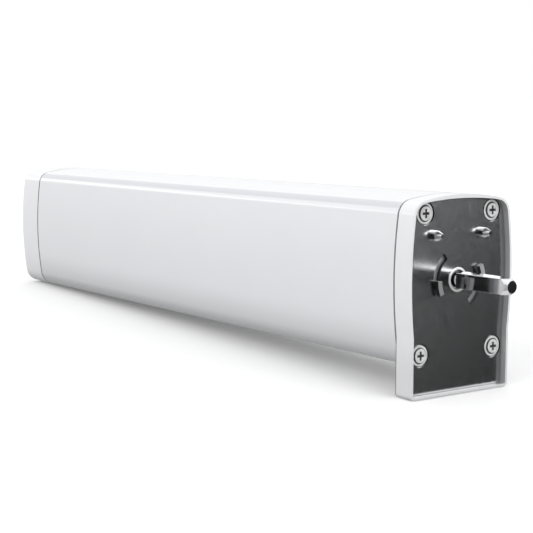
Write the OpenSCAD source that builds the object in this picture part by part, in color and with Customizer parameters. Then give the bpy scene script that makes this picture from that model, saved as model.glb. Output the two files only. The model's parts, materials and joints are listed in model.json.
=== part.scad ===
// Curtain motor: a geared motor in an extruded tube, with a square drive shaft at its mounting end.
// X runs out of the mounting end along the drive shaft, Y across, Z up; the origin is on the shaft axis in the
// plane of the mounting rim.

/* [Housing tube] */
// Length of the extruded tube between its two caps
tube_len = 307; // [260:1:420]
// Widest width of the tube
tube_w = 53.6; // [52:0.2:60]
// Height of the crowned top above the shaft axis
tube_top = 33.1; // [32:0.1:38]
// Depth of the underside below the shaft axis
tube_bottom = 33.3; // [32.8:0.1:40]
// Height above the shaft axis at which the bowed sides are widest
side_z = 0.8; // [0:0.1:4]
// Radius of the bowed sides
side_r = 180; // [140:1:300]
// Radius of the crowned top
crown_r = 104; // [90:1:300]
// Radius of the slightly bowed underside
belly_r = 247; // [160:1:400]
// Radius of the two top corners
top_corner_r = 6.5; // [5:0.5:8]
// Radius of the two bottom corners
bottom_corner_r = 8; // [6:0.5:10]
// Wall of the tube
tube_wall = 2; // [1.6:0.1:2.6]
// Outside radius of the screw ports that run along the tube
port_r = 3.6; // [3.2:0.1:4]
// Width of the shadow groove at each end of the tube
seam_w = 0.5; // [0.3:0.1:0.8]
// Depth of the shadow groove
seam_depth = 0.6; // [0.3:0.1:0.9]

/* [Mounting cap] */
// Length of the mounting cap, from the rim back to the tube
cap_len = 9; // [8.8:0.1:14]
// Width of the straight skirt under the cap
skirt_w = 51; // [50:0.5:52]
// Depth of the skirt's foot below the shaft axis
skirt_bottom = 44.2; // [42:0.1:50]
// Radius of the skirt's bottom corners
skirt_corner_r = 1.6; // [1.2:0.1:3]
// Thickness of the rim round the plate
rim_wall = 1; // [0.9:0.1:2]
// Thickness of the rim above the plate
rim_top = 1.5; // [1.2:0.1:2.4]
// Radius of the plate's crowned top
plate_crown_r = 160; // [110:1:300]
// Depth of the plate below the rim
plate_recess = 2.5; // [1.5:0.1:3]
// Thickness of the cap's rear wall
cap_rear_wall = 2.4; // [2:0.1:3]
// Width of the ledge that the plate rests on
ledge_w = 1.6; // [1:0.1:3]

/* [Mounting plate] */
// Thickness of the steel plate
plate_t = 1.5; // [1:0.1:2]
// Half the spacing of the two upper plate screws
top_screw_y = 17.5; // [16.5:0.1:18]
// Height of the two upper plate screws
top_screw_z = 26.2; // [25.5:0.1:26.5]
// Half the spacing of the two lower plate screws
low_screw_y = 19.2; // [18.5:0.1:19.6]
// Depth of the two lower plate screws
low_screw_z = 27.9; // [27.5:0.1:28.6]
// Half the spacing of the locating pins
pin_y = 12.57; // [11.5:0.01:14]
// Height of the locating pins above the shaft axis
pin_z = 17.58; // [16.8:0.01:18.5]
// Radius of the locating pins
pin_r = 2.05; // [1.8:0.05:2.5]
// Radius of the thinner shank behind a pin's shoulder
pin_shank_r = 1.6; // [1.2:0.1:1.7]
// Straight part of a locating pin in front of the plate
pin_straight = 1.8; // [1:0.1:5]
// Tapered nose of a locating pin
pin_nose = 2.8; // [1:0.1:5]
// Radius of the pin's tip
pin_tip_r = 0.9; // [0.5:0.1:1.4]

/* [Bayonet latch] */
// Inner radius of the two arc slots in the plate
slot_in_r = 9.8; // [9.4:0.1:10]
// Outer radius of the two arc slots
slot_out_r = 12.75; // [12.6:0.05:13.4]
// Angle at which the left slot starts
slot_start = 124; // [120:1:130]
// Angle at which the left slot ends
slot_end = 192; // [190:1:196]
// Inner radius of the bayonet hooks
hook_in_r = 10.35; // [10.2:0.05:10.6]
// Outer radius of the bayonet hooks
hook_out_r = 12.4; // [12:0.05:12.5]
// Angle taken by the hook's stem in the slot
stem_angle = 12; // [8:1:14]
// Angle over which the whole hook reaches, stem and finger
hook_angle = 28; // [22:1:34]
// Space between the plate and the underside of a finger
hook_gap = 0.7; // [0.4:0.1:1]
// How far the hook stays below the rim
hook_drop = 0.1; // [0.1:0.1:0.6]
// Thickness of the latch ring behind the plate
latch_t = 1.5; // [1:0.1:1.6]
// Outer radius of the latch ring
latch_r = 14.2; // [13.6:0.1:14.6]
// Radius of the spring wire that returns the latch
latch_wire_r = 0.4; // [0.3:0.05:0.45]

/* [Drive shaft] */
// Side of the square shaft
shaft_side = 6; // [5.6:0.1:6]
// Reach of the shaft beyond the rim
shaft_out = 26.1; // [18:0.1:40]
// Radius of the round neck and journal
journal_r = 3; // [2.6:0.1:3]
// Length of the chamfered tip
shaft_tip_len = 3.2; // [1:0.1:5]
// Radius of the tip's end face
shaft_tip_r = 2.4; // [2:0.1:2.8]
// Outer radius of the shaft's bush
bush_r = 4.8; // [4.4:0.1:5.4]
// Radius of the counterbore in the bush's face
bush_mouth_r = 3.8; // [3.4:0.1:4.2]
// Depth of the counterbore in the bush's face
bush_mouth = 2; // [1:0.1:3]

/* [Gearbox] */
// Module of all the gears
gear_m = 0.7; // [0.66:0.01:0.7]
// Teeth of each sun gear
sun_teeth = 12; // [12]
// Teeth of each planet gear
planet_teeth = 18; // [18]
// Pressure angle
pressure = 25; // [25]
// Thinning of each tooth flank, half of the play between two teeth
flank_play = 0.03; // [0.02:0.01:0.04]
// Outer radius of the gearbox
gearbox_r = 22; // [21.8:0.1:23]
// Thickness of the gearbox's front cover
cover_t = 4; // [3:0.1:6]
// Thickness of the gearbox's rear wall
gearbox_wall = 2.4; // [2.2:0.1:4]
// Face width of the output stage
output_gear_w = 10; // [6:0.5:14]
// Face width of the first stage
first_gear_w = 7; // [4:0.5:10]
// Thickness of the output carrier
output_carrier_t = 4; // [3:0.1:6]
// Thickness of the first carrier
first_carrier_t = 3; // [2:0.1:5]
// Outer radius of both carriers
carrier_r = 15; // [14.5:0.1:15.2]
// Radius of the planet pins
planet_pin_r = 1.5; // [1.2:0.1:2]
// Space between parts that turn past each other in the gearbox
gear_gap = 0.4; // [0.3:0.05:0.8]

/* [Motor] */
// Outer radius of the motor can
motor_r = 18.5; // [17:0.1:19]
// Length of the motor can
motor_len = 64; // [56:1:80]
// Wall of the motor can
motor_wall = 1.2; // [0.8:0.1:1.5]
// Radius of the motor shaft
motor_shaft_r = 1.6; // [1.4:0.05:2]
// Radius of the armature stack
armature_r = 13.2; // [12.8:0.1:13.4]
// Length of the armature stack
armature_len = 34; // [24:1:40]
// Slots in the armature
armature_slots = 7; // [7]
// Thickness of the two field magnets
magnet_t = 3.3; // [2.5:0.1:3.4]
// Radius of the commutator
commutator_r = 5; // [4.5:0.1:5.5]
// Length of the commutator
commutator_len = 8; // [6:0.5:10]

/* [Electronics] */
// Thickness of the circuit boards
board_t = 1.6; // [1.2:0.1:2]
// Length of the control board
board_len = 168; // [150:1:186]
// Depth of the control board's underside below the shaft axis
board_drop = 14; // [13:0.5:16]
// Width of the rails that carry the control board
rail_w = 2.2; // [1.5:0.1:2.4]
// Thickness of one rail
rail_t = 1.2; // [1:0.1:2]

/* [Tail cap] */
// Length of the tail cap
tail_len = 20.5; // [17:0.1:30]
// Wall of the tail cap
tail_wall = 2.4; // [2:0.1:3]
// Chamfer round the tail cap's end
tail_chamfer = 1; // [0.5:0.1:1.5]
// Depth of the power inlet's centre below the shaft axis
inlet_drop = 13; // [12:0.5:16]
// Spacing of the two pins in the power inlet
inlet_pitch = 8.6; // [8.6]
// Radius of the two lobes of the inlet's mouth
inlet_lobe_r = 4.4; // [4.2:0.1:4.6]
// Width of the control socket's mouth
socket_w = 10; // [9.8:0.1:10.4]
// Height of the control socket's mouth
socket_h = 7.6; // [7.4:0.1:8]
// Radius of the setting button
button_r = 3; // [2.5:0.1:3.5]
// Travel of the setting button
button_travel = 0.6; // [0.3:0.1:0.8]
// Radius of the light pipe beside the button
light_r = 1.5; // [1:0.1:2]

/* [Fits] */
// Radial clearance of a shaft that turns in its bore
run_fit = 0.05; // [0.03:0.01:0.08]
// Clearance round pieces that are seated and don't move
seat_fit = 0.02; // [0.01:0.01:0.05]
// Clearance between the plate and the rim round it
plate_fit = 0.15; // [0.1:0.05:0.2]

/* [Hidden] */
$fn = 72;
tiny = 0.01;

// Stations along the shaft axis, from the rim back
x_plate = -plate_recess;
x_seat = x_plate - plate_t;
x_joint = -cap_len;
x_wall = x_joint + cap_rear_wall;
x_tail = x_joint - tube_len;
x_end = x_tail - tail_len;
x_cover = x_joint - cover_t;
x_output_carrier = x_cover - gear_gap;
x_output_gears = x_output_carrier - output_carrier_t - gear_gap;
x_first_carrier = x_output_gears - output_gear_w - gear_gap;
x_first_gears = x_first_carrier - first_carrier_t - gear_gap;
x_gear_wall = x_first_gears - first_gear_w - gear_gap;
x_motor = x_gear_wall - gearbox_wall;
x_bell = x_motor - motor_len;

// Gear sizes
ring_teeth = sun_teeth + 2 * planet_teeth;
sun_r = gear_m * sun_teeth / 2;
planet_r = gear_m * planet_teeth / 2;
ring_r = gear_m * ring_teeth / 2;
orbit_r = sun_r + planet_r;
addendum = 0.8 * gear_m;
dedendum = gear_m;
planet_phase = 180 / planet_teeth;
ring_phase = 180 / ring_teeth;

// Plate screws, the same in both ends of the tube
screw_spots = [
    [top_screw_y, top_screw_z], [-top_screw_y, top_screw_z],
    [low_screw_y, -low_screw_z], [-low_screw_y, -low_screw_z],
];
screw_r = 1.65;
screw_head_r = 3.3;
screw_flange_t = 0.5;
screw_head_t = 1.2;
screw_recess = 0.6;
screw_recess_r = 4.65;
screw_bite = 9;
boss_r = 4.4;
pan_flange = 1.22;
pin_boss_r = 3.4;
tongue_len = 3;
tongue_t = 1.4;

// Latch ring and its seat in the cap
latch_gap = 0.2;
x_latch = x_seat - latch_gap;
x_latch_rear = x_latch - latch_t;
hub_r = 7.6;
hub_step_r = 9.2;
latch_spring_r = latch_r + 1.6;
latch_lug_r = latch_spring_r + latch_wire_r + 0.3;
latch_lug_at = 92;
latch_lug_angle = 9;
latch_post_at = 322;
latch_post_angle = 8;
hook_end = slot_end - 1;
hook_start = hook_end - stem_angle;

// Screws that hold the gearbox to the cap, and the gearbox together
cap_screw_at = 14.5;
cap_screw_r = 1.4;
cap_screw_head_r = 2.1;
cap_screw_head_t = 1.6;
cap_screw_sink = 1.2;
gear_screw_at = 19.8;
gear_screw_r = 1.05;
gear_screw_head_r = 2.1;
gear_screw_bite = 9;
motor_screw_at = 11;
motor_screw_r = 1.3;
motor_screw_head_r = 2.3;
motor_screw_bite = motor_wall + 1.4;

// Motor inside
can_in_r = motor_r - motor_wall;
bell_spigot = 5;
bell_flange = 2;
x_stack = x_motor - (motor_len - bell_spigot - commutator_len - armature_len) * 0.55;
end_turn = 4.5;
x_commutator = x_stack - armature_len - end_turn - 0.5;
nose_r = 6;
nose_len = 1.6;
bearing_r = 3.5;
bearing_len = 5;
x_bell_rear = x_bell - bell_flange;
x_magnet = x_bell_rear - 2;
encoder_magnet_t = 3;
encoder_magnet_r = 6;
x_encoder_board = x_magnet - encoder_magnet_t - 1.9;
encoder_board_t = 1.2;
encoder_post_y = 11;
encoder_post_r = 1.6;
encoder_peg_r = 0.9;
encoder_board_h = 16;
sensor_side = 4;
brush_w = 3;
brush_t = 4;
brush_out_r = 12;
damper_len = 12;
x_damper = x_bell + 14;

// Boards
board_z = -board_drop;
board_top = board_z + board_t;
x_board_end = x_tail + 8.4;
x_board = x_board_end + board_len;
board_fit = 0.2;
lead_r = 0.8;
lead_bend = 3;
lead_y = 6;
lead_z = 10.5;
x_lead_down = x_board - 1;

// Tail end
x_tail_wall = x_end + tail_wall;
x_socket_board = x_tail - 0.8;
socket_y = -8;
socket_z = 8;
button_y = 8;
button_z = 10;
light_y = 15;
post_y = 17.5;
post_z = -2;
post_r = 2.6;
tail_screw_head_r = 2.15;
tail_screw_head_t = 1.8;
tail_floor = 3;
x_socket_rear = x_socket_board - board_t;
inlet_waist = 7.4;
inlet_depth = 13;
inlet_skin = 1.6;
inlet_pin_r = 1.15;
inlet_pin_len = 10;
socket_skin = 1.4;
socket_depth = 12.5;
contact_r = 0.25;
contact_pitch = 1.02;
button_out = 0.8;
button_flange = 1;
button_stem_r = 1.2;
plunger_r = 1.7;
plunger_out = 1.2;
plunger_in = 1.2;
switch_side = 6;
switch_t = 3.4;
x_switch = x_socket_rear - switch_t;
led_t = 1.3;

// Parts on the control board, from its motor end back
x_transformer = x_board - 40;
transformer_len = 22;
transformer_w = 20;
core_t = 8;
core_lift = 4;
coil_h = 15;
leg_w = 3.5;
window_w = 3.5;
x_big_cap = x_transformer - 32;
big_cap_r = 8;
big_cap_len = 28;
small_cap_r = 4;
small_cap_h = 12;
small_cap_y = tube_w / 4;
x_small_caps = x_board - 12;
chip_len = 10;
chip_h = 1.4;
x_chips = x_big_cap - chip_len - 4;
small_chip = 6;
small_chip_y = tube_w / 4;
long_chip_len = 12;
long_chip_h = 2.2;
x_long_chip = x_chips - long_chip_len - 6;
radio_w = 16;
radio_len = 20;
x_radio = x_board_end + 9;
link_len = 5;

// Point where two circles meet, on one side of the line between their centres
function meet(a, ra, b, rb, side) =
    let (d = b - a, l = norm(d), t = (ra * ra - rb * rb + l * l) / (2 * l))
    a + d * t / l + side * sqrt(ra * ra - t * t) * [-d[1], d[0]] / l;
function unit(v) = v / norm(v);

// Centres of the arcs that make the tube's outline
flank_c = [tube_w / 2 - side_r, side_z];
crown_c = [0, tube_top - crown_r];
belly_c = [0, belly_r - tube_bottom];
top_c = meet(flank_c, side_r - top_corner_r, crown_c, crown_r - top_corner_r, 1);
bottom_c = meet(flank_c, side_r - bottom_corner_r, belly_c, belly_r - bottom_corner_r, -1);
corners = [[top_c, crown_c, top_corner_r], [bottom_c, belly_c, bottom_corner_r]];

// Half the tube's width at one height, less an inset
function half_width(z, inset) =
    flank_c[0] + sqrt(pow(side_r - inset, 2) - pow(z - side_z, 2));

module slab(x0, x1) {
    translate([x0, 0, 0]) rotate([90, 0, 90]) linear_extrude(x1 - x0) children();
}

module rod(x0, x1, r, r_end = 0) {
    translate([x0, 0, 0]) rotate([0, 90, 0]) cylinder(h = x1 - x0, r1 = r, r2 = r_end > 0 ? r_end : r);
}

module rod_at(spot, x0, x1, r, r_end = 0) {
    translate([0, spot[0], spot[1]]) rod(x0, x1, r, r_end);
}

module box(x, y, z) {
    translate([x[0], y[0], z[0]]) cube([x[1] - x[0], y[1] - y[0], z[1] - z[0]]);
}

module corner_wedge(c) {
    u = unit(c[0] - flank_c) * 2 * c[2];
    v = unit(c[0] - c[1]) * 2 * c[2];
    polygon([c[0], c[0] + u, c[0] + u + v, c[0] + v]);
}

// The tube's outline: bowed sides, crowned top and belly, and four rounded corners
module outline(inset = 0) {
    difference() {
        intersection() {
            translate(flank_c) circle(side_r - inset, $fn = 720);
            mirror([1, 0]) translate(flank_c) circle(side_r - inset, $fn = 720);
            translate(crown_c) circle(crown_r - inset, $fn = 720);
            translate(belly_c) circle(belly_r - inset, $fn = 720);
        }
        for (m = [0, 1], c = corners)
            mirror([m, 0]) corner_wedge(c);
    }
    for (m = [0, 1], c = corners)
        mirror([m, 0]) intersection() {
            translate(c[0]) circle(c[2] - inset);
            corner_wedge(c);
        }
}

// The same outline drawn in from x1 to x0 by a chamfer
module drawn_in(x0, x1, inset) {
    difference() {
        intersection() {
            rod_at(flank_c, x0, x1, side_r - inset, side_r, $fn = 720);
            mirror([0, 1, 0]) rod_at(flank_c, x0, x1, side_r - inset, side_r, $fn = 720);
            rod_at(crown_c, x0, x1, crown_r - inset, crown_r, $fn = 720);
            rod_at(belly_c, x0, x1, belly_r - inset, belly_r, $fn = 720);
        }
        for (m = [0, 1], c = corners)
            mirror([0, m, 0]) slab(x0 - 1, x1 + 1) corner_wedge(c);
    }
    for (m = [0, 1], c = corners)
        mirror([0, m, 0]) intersection() {
            rod_at(c[0], x0, x1, c[2] - inset, c[2]);
            slab(x0 - 1, x1 + 1) corner_wedge(c);
        }
}

// The mounting cap's outline: the tube's outline with a straight skirt under it
module cap_outline(inset = 0) {
    r = max(skirt_corner_r - inset, 0.4);
    w = skirt_w / 2 - inset;
    foot = -skirt_bottom + inset;
    outline(inset);
    translate([-w, foot + r]) square([2 * w, skirt_bottom / 2]);
    translate([r - w, foot]) square([2 * (w - r), skirt_bottom / 2]);
    for (s = [-1, 1])
        translate([s * (w - r), foot + r]) circle(r);
}

// The pocket for the plate: inside the rim, under a flatter crown than the cap's
module plate_outline(inset = 0) {
    intersection() {
        cap_outline(rim_wall + inset);
        translate([0, tube_top - rim_top - plate_crown_r]) circle(plate_crown_r - inset, $fn = 720);
    }
}

// Two tongues that plug a cap into the tube, one on each side, as thick as the skin allows
module tongue_outline(skin) {
    reach = 14;
    intersection() {
        difference() {
            outline(skin);
            outline(tube_wall + plate_fit + tongue_t);
        }
        for (s = [-1, 1])
            translate([s * tube_w / 2, side_z + rail_t * 5]) square([tube_w / 2, reach], center = true);
    }
}

module ring_sector(r_in, r_out, a0, a1) {
    far = r_out * 1.5;
    intersection() {
        difference() {
            circle(r_out);
            circle(r_in);
        }
        polygon(concat([[0, 0]], [for (i = [0:3]) let (a = a0 + (a1 - a0) * i / 3) far * [cos(a), sin(a)]]));
    }
}

// Involute gear outline: flat chords between points on each flank
function inv(base_r, r) = r > base_r ? let (a = acos(base_r / r)) tan(a) * 180 / PI - a : 0;
function flank_angle(teeth, r, grow) =
    let (pitch_r = gear_m * teeth / 2, base_r = pitch_r * cos(pressure))
    90 / teeth + grow / pitch_r * 180 / PI + inv(base_r, pitch_r) - inv(base_r, r);
function gear_points(teeth, low_r, high_r, grow, phase) =
    let (
        pitch_r = gear_m * teeth / 2,
        foot_r = max(low_r + tiny, pitch_r * cos(pressure)),
        radii = [low_r, foot_r, pitch_r, high_r]
    )
    [for (k = [0:teeth - 1], side = [-1, 1], i = [0:3])
        let (
            r = radii[side < 0 ? i : 3 - i],
            a = phase + k * 360 / teeth + side * flank_angle(teeth, r, grow)
        )
        r * [cos(a), sin(a)]];

module gear(teeth, phase = 0) {
    pitch_r = gear_m * teeth / 2;
    polygon(gear_points(teeth, pitch_r - dedendum, pitch_r + addendum, -flank_play, phase));
}

module planet(index, x, w) {
    a = (index - 1) * 120;
    slab(x - w, x) translate(orbit_r * [cos(a), sin(a)]) difference() {
        gear(planet_teeth, planet_phase);
        circle(planet_pin_r + run_fit);
    }
}

module planet_pins(x0, x1) {
    for (a = [0, 120, 240])
        rod_at(orbit_r * [cos(a), sin(a)], x0, x1, planet_pin_r);
}

// Pan head screw along +X: its flange seats at x, its shank runs back
module pan_screw(spot, x, r, head_r, head_t, flange_t, bite) {
    difference() {
        union() {
            rod_at(spot, x - bite, x, r);
            rod_at(spot, x, x + flange_t, head_r * pan_flange);
            rod_at(spot, x + flange_t, x + head_t, head_r, head_r * 0.8);
        }
        translate([0, spot[0], spot[1]]) cross_recess(x + head_t, head_r, head_t * 0.7);
    }
}

module cross_recess(x, head_r, depth) {
    arm = head_r * 0.52;
    half = head_r * 0.15;
    for (a = [0, 90])
        rotate([a, 0, 0]) box([x - depth, x + 1], [-arm, arm], [-half, half]);
}

// Countersunk screw along +X with its face at x
module sunk_screw(spot, x, r, head_r, bite) {
    difference() {
        union() {
            rod_at(spot, x - bite, x - head_r + r, r);
            rod_at(spot, x - head_r + r, x, r, head_r);
        }
        translate([0, spot[0], spot[1]]) cross_recess(x, head_r * 0.9, head_r * 0.5);
    }
}

module sunk_hole(spot, x, r, head_r, depth) {
    rod_at(spot, x - depth, x + 1, r + seat_fit);
    rod_at(spot, x - head_r + r - seat_fit, x + tiny, r + seat_fit, head_r + 2 * seat_fit);
}

function around(r, count, first) =
    [for (k = [0:count - 1]) let (a = first + k * 360 / count) r * [cos(a), sin(a)]];

// Housing
module housing_tube() color([0.93, 0.94, 0.95]) {
    difference() {
        union() {
            difference() {
                union() {
                    slab(x_tail + seam_w, x_joint - seam_w) outline();
                    slab(x_tail, x_joint) outline(seam_depth);
                }
                slab(x_tail - 1, x_joint + 1) outline(tube_wall);
            }
            slab(x_tail, x_joint) intersection() {
                outline(tube_wall / 2);
                union() {
                    for (s = screw_spots)
                        translate(s) circle(port_r);
                    for (m = [0, 1], z = [board_top + board_fit, board_z - board_fit - rail_t])
                        mirror([m, 0]) translate([half_width(z, tube_wall) - rail_w, z]) square([tube_w, rail_t]);
                }
            }
        }
        for (s = screw_spots)
            rod_at(s, x_tail - 1, x_joint + 1, screw_r + seat_fit);
    }
}

module mounting_cap() color([0.91, 0.92, 0.93]) {
    difference() {
        union() {
            difference() {
                slab(x_joint, 0) cap_outline();
                slab(x_seat, 1) plate_outline();
                slab(x_wall, 1) cap_outline(rim_wall + ledge_w);
            }
            intersection() {
                slab(x_joint, x_seat) cap_outline(rim_wall / 2);
                union() {
                    for (s = screw_spots)
                        rod_at(s, x_wall - 1, x_seat, boss_r);
                }
            }
            for (s = [-1, 1])
                rod_at([s * pin_y, pin_z], x_wall - 1, x_seat, pin_boss_r);
            rod(x_wall - 1, x_seat, hub_r);
            rod(x_wall - 1, x_latch_rear - latch_gap, hub_step_r);
            slab(x_wall - 1, x_latch) ring_sector(
                latch_spring_r - 1, latch_lug_r, latch_post_at, latch_post_at + latch_post_angle
            );
            slab(x_joint - tongue_len, x_joint + 1) tongue_outline(tube_wall + plate_fit);
        }
        rod(x_joint - 1, x_seat + 1, bush_r + seat_fit);
        for (s = screw_spots)
            rod_at(s, x_joint - 1, x_seat + 1, screw_r + 0.35);
        for (s = [-1, 1])
            rod_at([s * pin_y, pin_z], x_joint + 1, x_seat + 1, pin_shank_r + seat_fit);
        for (s = around(cap_screw_at, 4, 45)) {
            rod_at(s, x_joint - 1, x_wall + 1, cap_screw_r + 0.15);
            rod_at(s, x_wall - cap_screw_sink, x_wall + 1, cap_screw_head_r * pan_flange + 0.1);
        }
    }
}

module mounting_plate() color([0.36, 0.37, 0.39]) {
    difference() {
        slab(x_seat, x_plate) difference() {
            plate_outline(plate_fit);
            circle(bush_r + seat_fit);
            for (a = [0, 180])
                rotate(a) ring_sector(slot_in_r, slot_out_r, slot_start, slot_end);
            for (s = screw_spots)
                translate(s) circle(screw_r + 0.35);
            for (s = [-1, 1])
                translate([s * pin_y, pin_z]) circle(pin_shank_r + seat_fit);
        }
        for (s = screw_spots)
            rod_at(s, x_plate - screw_recess, x_plate + 1, screw_recess_r);
    }
}

module plate_screws() color([0.75, 0.76, 0.78]) {
    x = x_plate - screw_recess;
    for (s = screw_spots)
        pan_screw(s, x, screw_r, screw_head_r, screw_head_t, screw_flange_t, x - x_joint + screw_bite);
}

// Pins with a shoulder that seats on the plate and a thinner shank through the plate and the cap
module locating_pins() color([0.75, 0.76, 0.78]) {
    x_nose = x_plate + pin_straight;
    for (s = [-1, 1]) {
        rod_at([s * pin_y, pin_z], x_joint + 1, x_plate + tiny, pin_shank_r);
        rod_at([s * pin_y, pin_z], x_plate, x_nose, pin_r);
        rod_at([s * pin_y, pin_z], x_nose, x_nose + pin_nose, pin_r, pin_tip_r);
    }
}

module latch_ring() color([0.42, 0.43, 0.45]) {
    slab(x_latch_rear, x_latch) difference() {
        union() {
            circle(latch_r);
            ring_sector(latch_r - 1, latch_lug_r, latch_lug_at, latch_lug_at + latch_lug_angle);
        }
        circle(hub_r + run_fit);
    }
    for (a = [0, 180]) {
        slab(x_latch - tiny, -hook_drop)
            rotate(a) ring_sector(hook_in_r, hook_out_r, hook_start, hook_end);
        slab(x_plate + hook_gap, -hook_drop)
            rotate(a) ring_sector(hook_in_r, hook_out_r, hook_start, hook_start + hook_angle);
    }
}

module latch_spring() color([0.7, 0.71, 0.73]) {
    start = latch_lug_at + latch_lug_angle;
    translate([x_latch_rear + latch_t / 2, 0, 0]) rotate([90, 0, 90]) rotate([0, 0, start])
        rotate_extrude(angle = latch_post_at - start) translate([latch_spring_r, 0]) circle(latch_wire_r, $fn = 24);
}

module shaft_bush() color([0.75, 0.76, 0.78]) {
    difference() {
        rod(x_cover, x_plate + 0.2, bush_r);
        rod(x_cover - 1, x_plate + 1, journal_r + run_fit);
        rod(x_plate + 0.2 - bush_mouth, x_plate + 1, bush_mouth_r);
    }
}

module cap_screws() color([0.5, 0.51, 0.53]) {
    for (s = around(cap_screw_at, 4, 45))
        pan_screw(
            s, x_wall - cap_screw_sink, cap_screw_r, cap_screw_head_r, cap_screw_head_t, 0.5,
            cap_rear_wall - cap_screw_sink + cover_t - 0.4
        );
}

// Output stage
module shaft_square() {
    intersection() {
        square(shaft_side, center = true);
        rotate(45) square(shaft_side * 1.36, center = true);
    }
}

module drive_flats(r) {
    intersection() {
        circle(r);
        square([r * 1.66, 3 * r], center = true);
    }
}

module drive_shaft() color([0.78, 0.79, 0.8]) {
    x_square = x_plate + 2.1;
    x_flats = x_output_carrier - output_carrier_t;
    intersection() {
        slab(x_square, shaft_out) shaft_square();
        union() {
            rod(x_square - 1, shaft_out - shaft_tip_len, shaft_side);
            rod(shaft_out - shaft_tip_len, shaft_out, shaft_side * 0.72, shaft_tip_r);
        }
    }
    rod(x_output_carrier, x_square + tiny, journal_r);
    slab(x_flats, x_output_carrier + tiny) drive_flats(journal_r);
    rod(x_flats - output_gear_w / 2, x_flats + tiny, planet_pin_r);
}

module output_carrier() color([0.55, 0.56, 0.58]) {
    slab(x_output_carrier - output_carrier_t, x_output_carrier) difference() {
        circle(carrier_r);
        drive_flats(journal_r + seat_fit);
        for (s = around(orbit_r, 3, 0))
            translate(s) circle(planet_pin_r + seat_fit);
        for (s = around(orbit_r, 3, 60))
            translate(s) circle(2.2);
    }
}

module output_planet_pins() color([0.75, 0.76, 0.78])
    planet_pins(x_output_gears - output_gear_w, x_output_carrier - 0.2);

module output_planet_gear(index) color([0.8, 0.78, 0.7])
    planet(index, x_output_gears, output_gear_w);

module gearbox_cover() color([0.5, 0.51, 0.53]) {
    difference() {
        rod(x_cover, x_joint, gearbox_r);
        rod(x_cover - 1, x_joint + 1, bush_r + seat_fit);
        for (s = around(cap_screw_at, 4, 45))
            rod_at(s, x_cover - 1, x_joint + 1, cap_screw_r + seat_fit);
        for (s = around(gear_screw_at, 4, 0))
            sunk_hole(s, x_joint, gear_screw_r, gear_screw_head_r, cover_t + 1);
    }
}

module gearbox_screws() color([0.35, 0.36, 0.38]) {
    for (s = around(gear_screw_at, 4, 0))
        sunk_screw(s, x_joint, gear_screw_r, gear_screw_head_r, cover_t + gear_screw_bite);
}

module gearbox_housing() color([0.3, 0.31, 0.33]) {
    difference() {
        rod(x_motor, x_cover, gearbox_r);
        slab(x_gear_wall, x_cover + 1)
            polygon(gear_points(ring_teeth, ring_r - addendum, ring_r + dedendum, flank_play, ring_phase));
        rod(x_motor - 1, x_gear_wall + 1, nose_r + seat_fit);
        for (s = around(gear_screw_at, 4, 0))
            rod_at(s, x_cover - gear_screw_bite - 1, x_cover + 1, gear_screw_r + seat_fit);
        for (s = around(motor_screw_at, 2, 90))
            sunk_hole(s, x_gear_wall, motor_screw_r, motor_screw_head_r, gearbox_wall + 1);
    }
}

// First stage: a carrier with the output stage's sun gear on its front
module first_carrier() color([0.55, 0.56, 0.58]) {
    difference() {
        union() {
            rod(x_first_carrier - first_carrier_t, x_first_carrier, carrier_r);
            slab(x_first_carrier - tiny, x_output_gears + gear_gap / 2) gear(sun_teeth);
        }
        rod(x_first_carrier - first_carrier_t - 1, x_first_carrier - 0.8, motor_shaft_r + run_fit);
        rod(x_output_gears - output_gear_w / 2 - 1, x_output_gears + 1, planet_pin_r + run_fit);
        for (s = around(orbit_r, 3, 0))
            rod_at(s, x_first_carrier - first_carrier_t - 1, x_first_carrier + 1, planet_pin_r + seat_fit);
    }
}

module first_planet_pins() color([0.75, 0.76, 0.78])
    planet_pins(x_first_gears - first_gear_w, x_first_carrier - 0.2);

module first_planet_gear(index) color([0.88, 0.86, 0.78])
    planet(index, x_first_gears, first_gear_w);

// Motor
module motor_screws() color([0.35, 0.36, 0.38]) {
    for (s = around(motor_screw_at, 2, 90))
        sunk_screw(s, x_gear_wall, motor_screw_r, motor_screw_head_r, gearbox_wall + motor_screw_bite);
}

module motor_pinion() color([0.72, 0.6, 0.32]) {
    slab(x_first_gears - first_gear_w, x_first_gears) difference() {
        gear(sun_teeth);
        circle(motor_shaft_r + seat_fit);
    }
}

module motor_shaft() color([0.75, 0.76, 0.78])
    rod(x_magnet - encoder_magnet_t, x_first_carrier - 1.2, motor_shaft_r);

module armature_slot(play) {
    inner = 5;
    outer = armature_r - 1.4;
    half_in = PI * inner / armature_slots - 1.25 - play;
    half_out = PI * outer / armature_slots - 1.25 - play;
    polygon([
        [inner + play, -half_in], [outer - play, -half_out], [outer - play, half_out], [inner + play, half_in]
    ]);
}

module armature_core() color([0.5, 0.5, 0.52]) {
    slab(x_stack - armature_len, x_stack) difference() {
        circle(armature_r);
        circle(motor_shaft_r + seat_fit);
        for (k = [0:armature_slots - 1])
            rotate(k * 360 / armature_slots) {
                armature_slot(0);
                translate([armature_r - 2, -0.8]) square([4, 1.6]);
            }
    }
}

module armature_windings() color([0.72, 0.38, 0.16]) {
    wound_r = armature_r - 1.6;
    slab(x_stack - armature_len - tiny, x_stack + tiny)
        for (k = [0:armature_slots - 1])
            rotate(k * 360 / armature_slots) armature_slot(0.15);
    for (end = [0, 1])
        translate([x_stack - end * armature_len, 0, 0]) mirror([end, 0, 0]) difference() {
            union() {
                rod(0, end_turn / 2, wound_r);
                rod(end_turn / 2, end_turn, wound_r, wound_r - 1.4);
            }
            rod(-1, end_turn + 1, 4);
        }
}

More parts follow.
